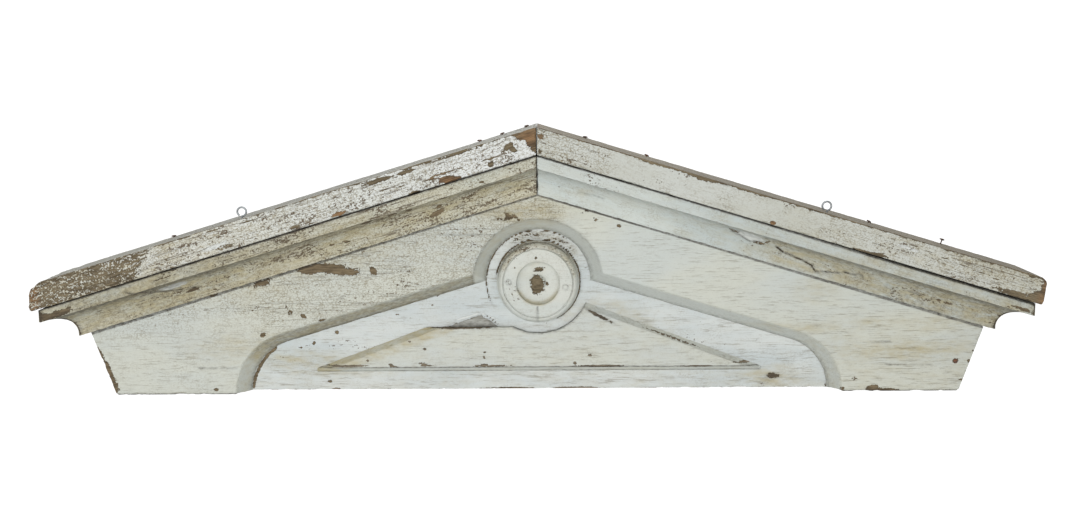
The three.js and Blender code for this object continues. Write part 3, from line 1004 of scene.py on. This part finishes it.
# %% Crown returns
for side, name in SIDES:
    piece = worn_copy("crown_return_" + name)
    ease_arrises(piece, 0.8)
    cut_grid(piece, BACKWARD, -106, -2, 4)
    cut_grid(piece, ACROSS, -736, 736, 4)
    wear(piece, wave=0.5, wave_size=45, chip=1.3)
    paint_crown(piece, side)
    settle(piece, crown_paint[side], "crown_return_" + name)

# %% [markdown]
# The caps are plain thick boards, and they took the most weather. The left one has lost nearly all its
# paint at the end and has rotted round there, and both have bare strips along their top edges.

# %% Cap boards
CAP_EDGE = 230.9
CAP_FRONT = -118 * MM
CAP_BACK = -3 * MM
CAP_END = 700 * MM
CAP_GONE = {-1: [
    (-456, 70, 13, 3, 17), (-353, 98, 9, 2, 17), (-288, 117, 12, 3, 17), (-127, 166, 19, 5.5, 10),
    (-66, 188, 4, 5, -40), (-40, 214, 9, 4, 40), (-35, 210, 8, 4, -40), (-13, 231, 15, 7, 17, 1.3),
    (-6, 222, 8, 9, 0, 1.3), (-3, 212, 4, 7, 0, 1.2), (-230, 165, 26, 3.4, 17), (-190, 177, 14, 3, 17),
    (-177, 148, 9, 2, 17), (-120, 201, 60, 2, 17, 0.8),
], 1: [
    (6, 228, 5, 5), (5, 206, 3, 4), (77, 219, 40, 2.6, -17), (164, 192, 26, 4.5, -20),
    (200, 184, 60, 3.2, -17), (352, 138, 80, 3, -17), (493, 52, 18, 4, -12), (473, 58, 14, 2, -17),
    (343, 100, 5, 3.5, -20), (476, 98, 24, 2.6, -17), (560, 72, 70, 2.4, -17, 0.9),
    (680, 36, 60, 3, -17, 0.95), (744, 0, 7, 24, -8), (731, -12, 10, 8), (692, -5, 34, 4.5, -17, 0.85),
]}
CAP_CRACKS = {-1: [
    [(-640, 48), (-520, 82), (-388, 115)], [(-154, 169), (-100, 187), (-53, 200)],
    [(-230, 150), (-190, 158), (-150, 168)],
], 1: [
    [(498, 96), (600, 64), (689, 32)], [(528, 74), (600, 44), (675, 14)],
]}
CAP_FLAKES = {
    -1: [(-470, 70, 30, 5, 17, 0.8)],
    1: [(540, 62, 90, 9, -17, 0.56), (420, 96, 50, 8, -17, 0.5)],
}
CAP_WARM = [
    (-10, 226, 15, 12), (744, -18, 9, 12), (-742, -5, 6, 20), (-127, 165, 22, 8, 10), (747, 0, 7, 24),
    (-288, 117, 14, 6, 17), (343, 100, 8, 6),
]
TOP_STRIP = {-1: 1.8, 1: 3.6}
TOP_BARE = {-1: 0.6, 1: 0.75}
TOP_SILVER = {-1: 0.95, 1: 0.25}


def outer_arris(edge):
    """An arris of the front, of the back or of an end; the rest is hidden and stays sharp."""
    depths = [vertex.co.y for vertex in edge.verts]
    return max(depths) < CAP_FRONT or min(depths) > CAP_BACK or abs(edge.verts[0].co.x) > CAP_END


def rotten_end(place):
    """Soft wood gone from the left cap's end."""
    near = ramp(-place.x, 690, 745)
    return near * (1.2 + 2.4 * noise.noise(place / 15) + 1.4 * noise.noise(place / 6))


def bare_strip(x, run, height, side):
    """The strip along the top edge, with a width that wanders."""
    strip = TOP_STRIP[side] + ripple(run, 70, side) * 6 + ripple(run, 11) * 1.6
    strip = strip * (1 - 0.45 * fade(np.abs(x), 300, 520)) * fade(680 - side * x, -60, 0)
    if side > 0:
        strip = strip * (0.35 + 0.65 * fade(x, 110, 160))
    return hill((CAP_EDGE - height) / np.maximum(strip, 0.3)) * 0.9


def paint_cap(piece, side):
    points = places(piece)
    x, y, z = points.T
    run, height = slope_distances(points, side)
    left = LEFT_WEAR[side]
    far = fade(np.abs(x), 250, 620)
    near_mitre = (1 - fade(x, 40, 130)) * 0.4 * (side > 0)
    right_end = fade(x, 640, 740)
    end_gone = fade(-x + (z - 14) * 0.5, 560, 610) * (side < 0)
    worst_end = fade(-x, 690, 735) * (side < 0)
    on_top = fade(height, 228.6, 230.4) * (y > -119)
    # Painted shade with sooty dirt: the underside edge is darkened, in the gap over the moulding.
    under = 1 - fade(height, 191.8, 192.8)

    bare = spots(points, CAP_GONE[side]) * (1 - fade(y, -108, -95))
    for line in CAP_CRACKS[side]:
        bare = highest(bare, streak(points, line, 0.9, 0.85) * (y < -116))
    edge_gone = bare_strip(x, run, height, side) * (y < -100)
    bare = highest(bare, edge_gone, end_gone * (0.7 + 0.12 * worst_end))
    bare = highest(bare, arrises(piece) * (0.3 + 0.4 * right_end)) + right_end * 0.12
    store(piece, bare=np.clip(highest(bare, on_top * TOP_BARE[side]), 0, 1),
          warm=spots(points, CAP_WARM) * 0.7, silver=on_top * TOP_SILVER[side],
          dirt=0.28 + 0.5 * far * max(left, 0.7),
          crackle=np.clip(0.3 + 0.45 * left + far * 0.3 + near_mitre - end_gone * 0.75, 0, 1), scratch=0.45,
          soot=under * 0.8,
          flake=highest(spots(points, CAP_FLAKES[side]) * (y < -118), end_gone * 0.4))


for side, name in SIDES:
    piece = worn_copy("cap_" + name)
    ease_arrises(piece, 1.5, outer_arris)
    slope_grid(piece, side, 80, [(192, 231, 2.5)])
    cut_grid(piece, BACKWARD, -118, -2, 8)
    wear(piece, wave=0.5, wave_size=60, chip=2.2, chip_size=18, often=0.05, more=rotten_end)
    paint_cap(piece, side)
    settle(piece, cap_paint[side], "cap_" + name)

# %% [markdown]
# ## Screw eyes and nails
#
# The eyes are new: bent, zinc-plated wire. The nails are old iron, brown with rust.

# %% Metals
def zinc_wire():
    mix = Recipe("zinc_wire")
    cloud = mix.noise(mix.place(), 2.5, 4)
    draw = mix.noise(mix.place(stretch=(1, 1, 0.1)), 0.4, 2)
    colour = mix.mix(cloud, srgb(112, 117, 120), srgb(178, 183, 185))
    mix.shader.inputs["Metallic"].default_value = 0.7
    return mix.finish(colour, cloud * 0.2 + 0.34, draw, depth=0.05, strength=0.4)


def rusty_iron():
    mix = Recipe("rusty_iron")
    scale = mix.noise(mix.place(), 1.6, 5, 0.7)
    bloom = mix.noise(mix.place(), 4, 3)
    colour = mix.mix(scale.step(0.35, 0.65), srgb(62, 48, 40), srgb(112, 90, 76))
    colour = mix.mix(bloom.step(0.52, 0.68) * 0.7, colour, srgb(128, 78, 46))
    return mix.finish(colour, scale * 0.2 + 0.7, scale, depth=0.25, strength=0.8)


zinc = zinc_wire()
iron = rusty_iron()

# %% [markdown]
# A small circle spun most of the way round makes an eye's loop and leaves the gap that a bent wire has.
# A cylinder with a drawn-in tip is its shank.

# %% Screw eyes
CAP_TOP = 241.3
EYE_DEPTH = 88
LOOP_RADIUS = 6.6
LOOP_TURN = math.radians(328)
WIRE_RADIUS = 1.35
WIRE_SIDES = 14
SHANK = 19


def cap_top_at(x):
    return CAP_TOP - SLOPE * abs(x)


def screw_eye(name, node, x):
    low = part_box(node)[1][2] / MM - LOOP_RADIUS * 2 - WIRE_RADIUS
    middle = Vector((x, -EYE_DEPTH, low + LOOP_RADIUS)) * MM
    start = Vector((x, -EYE_DEPTH, low)) * MM
    bpy.ops.mesh.primitive_circle_add(vertices=WIRE_SIDES, radius=WIRE_RADIUS * MM, fill_type="NGON",
                                      location=start, rotation=(0, math.pi / 2, 0))
    piece = bpy.context.object
    piece.name = name
    bpy.ops.object.transform_apply(location=True, rotation=True, scale=True)
    open_edit(piece)
    take_all()
    bpy.ops.mesh.spin(steps=44, angle=LOOP_TURN, center=middle, axis=(0, 1, 0))
    bpy.ops.mesh.primitive_cylinder_add(vertices=WIRE_SIDES, radius=WIRE_RADIUS * MM, depth=SHANK * MM,
                                        location=start - Vector((0, 0, SHANK / 2 - 0.4)) * MM)
    bpy.ops.mesh.select_mode(type="FACE")
    bpy.ops.mesh.select_all(action="DESELECT")
    tip = start.z - (SHANK - 1) * MM
    choose(piece, "faces", lambda f: f.calc_center_median().z < tip and f.normal.z < -0.9)
    extrude((0, 0, -1 * MM))
    bpy.ops.transform.resize(value=(0.3, 0.3, 1))
    take_all()
    bpy.ops.mesh.remove_doubles(threshold=0.01 * MM)
    bpy.ops.mesh.normals_make_consistent(inside=False)
    close_edit()
    settle(piece, zinc, node)


screw_eye("wire_eye_left", "screw_eye_left", -437)
screw_eye("wire_eye_right", "screw_eye_right", 427)

# %% [markdown]
# No two hammered heads are alike, so each nail is shaped from a cylinder with its own seed of noise.

# %% Nails
HEAD_RADIUS = 3.5
HEAD_HEIGHT = 1.5
HEAD_TOP = 1.35
CAP_NAIL_DEPTH = -26
CAP_NAILS = [-557, -87, -53, -16, 73, 166, 505]
BENT_NAIL_X = 617


def old_nail(name, node, top, axis, length):
    """A hammered round head on a tapering shank, with its top at a place and its axis along a direction."""
    bpy.ops.mesh.primitive_cylinder_add(vertices=16, radius=HEAD_RADIUS * MM, depth=HEAD_HEIGHT * MM)
    piece = bpy.context.object
    piece.name = name
    open_edit(piece, "FACE")
    choose(piece, "faces", lambda f: f.normal.z > 0.9)
    for inset, rise in ((1, 0.45), (1.1, 0.2)):
        bpy.ops.mesh.inset(thickness=inset * MM)
        bpy.ops.transform.translate(value=(0, 0, rise * MM))
    bpy.ops.mesh.select_all(action="DESELECT")
    choose(piece, "faces", lambda f: f.normal.z < -0.9)
    bpy.ops.mesh.inset(thickness=2.2 * MM)
    for part in (0.4, 0.6):
        extrude((0, 0, -length * part * MM))
        bpy.ops.transform.resize(value=(0.8, 0.8, 1))
    take_all()
    bpy.ops.mesh.subdivide(number_cuts=1, smoothness=0.4)
    close_edit()
    seed = Vector((len(node) * 3.1, ord(node[-1]) * 1.7, 0))
    for vertex in piece.data.vertices:
        knock = noise.noise(vertex.co / MM / 2.6 + seed)
        vertex.co *= 1 + 0.1 * knock if vertex.co.z > -1 * MM else 1
    turn = Vector((0, 0, 1)).rotation_difference(Vector(axis)).to_matrix().to_4x4()
    lowered = Matrix.Translation((0, 0, -HEAD_TOP * MM))
    piece.data.transform(Matrix.Translation(Vector(top) * MM) @ turn @ lowered)
    settle(piece, iron, node)


for number, x in enumerate(CAP_NAILS, 1):
    lean = raking(-1 if x < 0 else 1)[1] + Vector((0.25 * math.sin(x), 0, 0))
    top = (x, CAP_NAIL_DEPTH, cap_top_at(x) + 3)
    old_nail("old_cap_nail_%d" % number, "cap_nail_%d" % number, top, lean, 12)
bent_top = (BENT_NAIL_X, CAP_NAIL_DEPTH, cap_top_at(BENT_NAIL_X) + 8.6)
old_nail("old_bent_nail", "bent_nail", bent_top, (0.35, 0.1, 1), 14)
old_nail("old_board_nail", "board_nail", (637, -50.9, -123), (0, -1, 0), 14)
